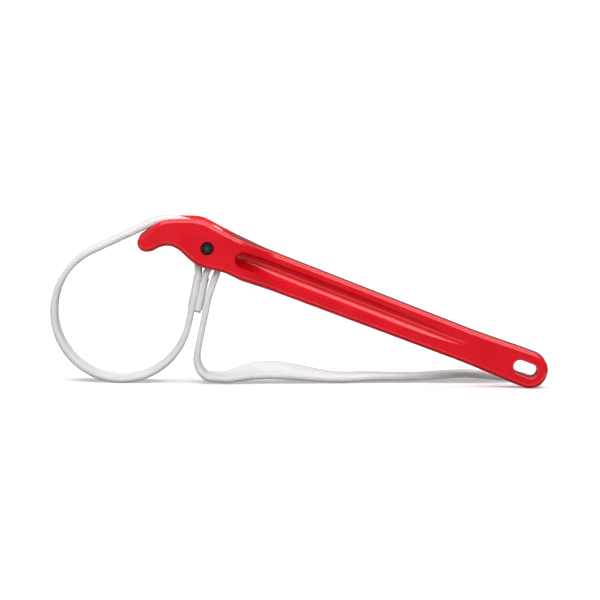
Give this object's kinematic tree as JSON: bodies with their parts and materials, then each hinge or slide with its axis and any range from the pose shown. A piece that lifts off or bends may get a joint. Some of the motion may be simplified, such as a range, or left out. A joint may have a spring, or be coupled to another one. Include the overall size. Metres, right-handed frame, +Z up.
{
  "type": "strap wrench",
  "caption": "Strap wrench: cast handle with a hooked nose and hanging hole, and a webbing strap looped from a pin, round the pipe's place and back through the head.",
  "frame": {"origin": "on the axis of the gripped pipe, midway across the strap", "axes": "+X towards the handle's hanging hole, +Y along the pipe's axis, +Z up"},
  "size_m": [0.3433, 0.0844, 0.1153],
  "materials": {
    "red_enamel": "glossy enamel on a casting",
    "pin_steel": "blackened steel",
    "webbing": "woven off-white webbing",
    "thread": "bonded sewing thread"
  },
  "bodies": {
    "handle_body": {"handle": "red_enamel", "strap_pin": "pin_steel", "strap_in_window": "webbing", "strap_drape": "webbing", "strap_floor_bend": "webbing"},
    "loop_body": {"strap_eye": "webbing", "strap_lap": "webbing", "strap_fixed_run": "webbing", "strap_loop": "webbing", "strap_over_hook": "webbing", "eye_stitching": "thread"},
    "tail_body": {"strap_tail_near": "webbing"},
    "tail_tip_body": {"strap_tail_far": "webbing"}
  },
  "joints": [
    {"name": "strap_pivot", "type": "hinge", "parent": "handle_body", "child": "loop_body", "pos_m": [0.0585, 0, 0.0452], "axis": [0, 1, 0], "range_deg": [0, 15], "deforming": ["strap_in_window"]},
    {"name": "tail_sweep", "type": "hinge", "parent": "handle_body", "child": "tail_body", "pos_m": [0.06689, 0, -0.0445], "axis": [0, 0, 1], "range_deg": [0, 50], "deforming": ["strap_floor_bend"]},
    {"name": "tail_lift", "type": "hinge", "parent": "tail_body", "child": "tail_tip_body", "pos_m": [0.18883, 0.02748, -0.0445], "axis": [0.2198, -0.9755, 0], "range_deg": [0, 35]}
  ]
}
